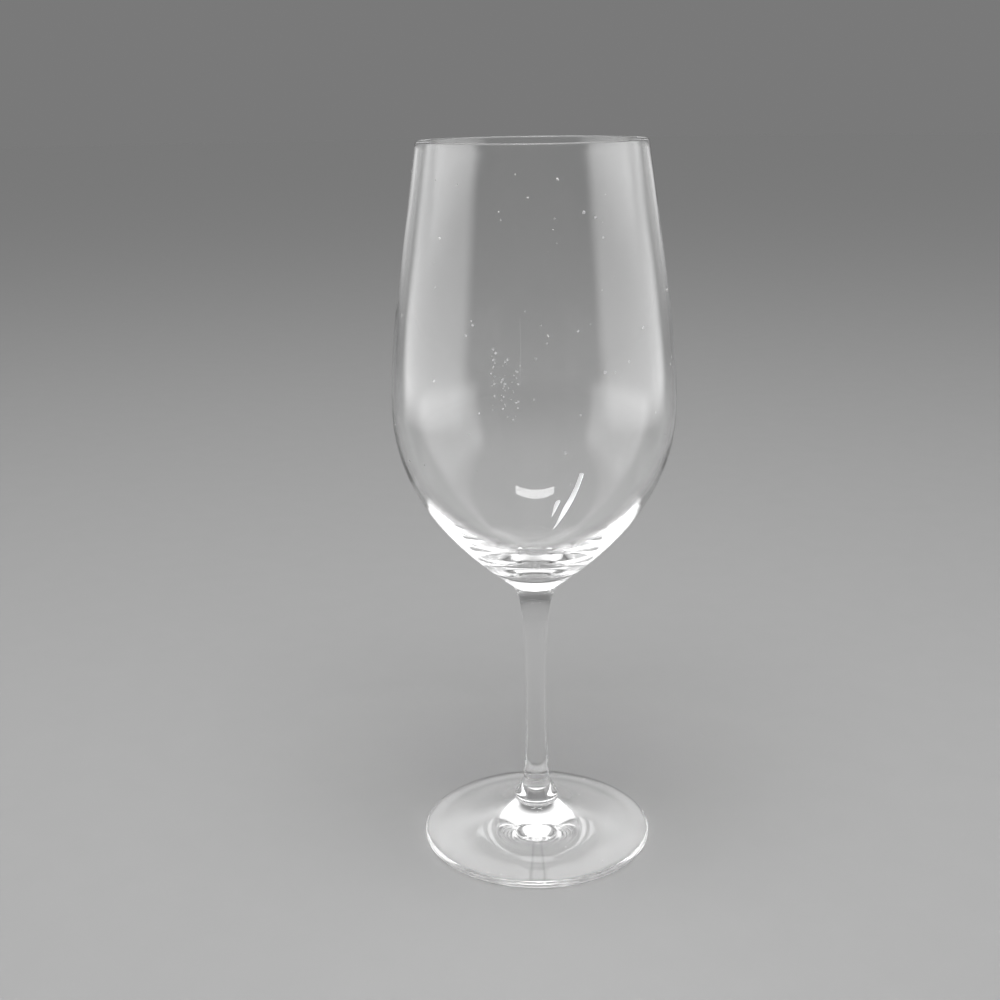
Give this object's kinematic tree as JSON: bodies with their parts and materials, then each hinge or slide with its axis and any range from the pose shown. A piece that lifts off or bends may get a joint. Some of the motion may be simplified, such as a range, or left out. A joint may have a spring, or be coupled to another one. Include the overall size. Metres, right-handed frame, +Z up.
{
  "type": "cracked wine glass",
  "caption": "Large stemmed wine glass in clear glass with an egg-shaped bowl, slim stem and flat round foot, cracked in the lower wall of its bowl.",
  "frame": {"origin": "centre of the foot's resting ring, at the level the glass stands on", "axes": "+Z up along the stem, the glass's axis of revolution; the crack lies towards -Y, a little to the +X side"},
  "size_m": [0.093, 0.093, 0.24],
  "materials": {
    "clear_glass": "polished clear glass with dried water marks, dust specks and a bright crack"
  },
  "bodies": {
    "root": {"glass": "clear_glass"}
  },
  "joints": []
}
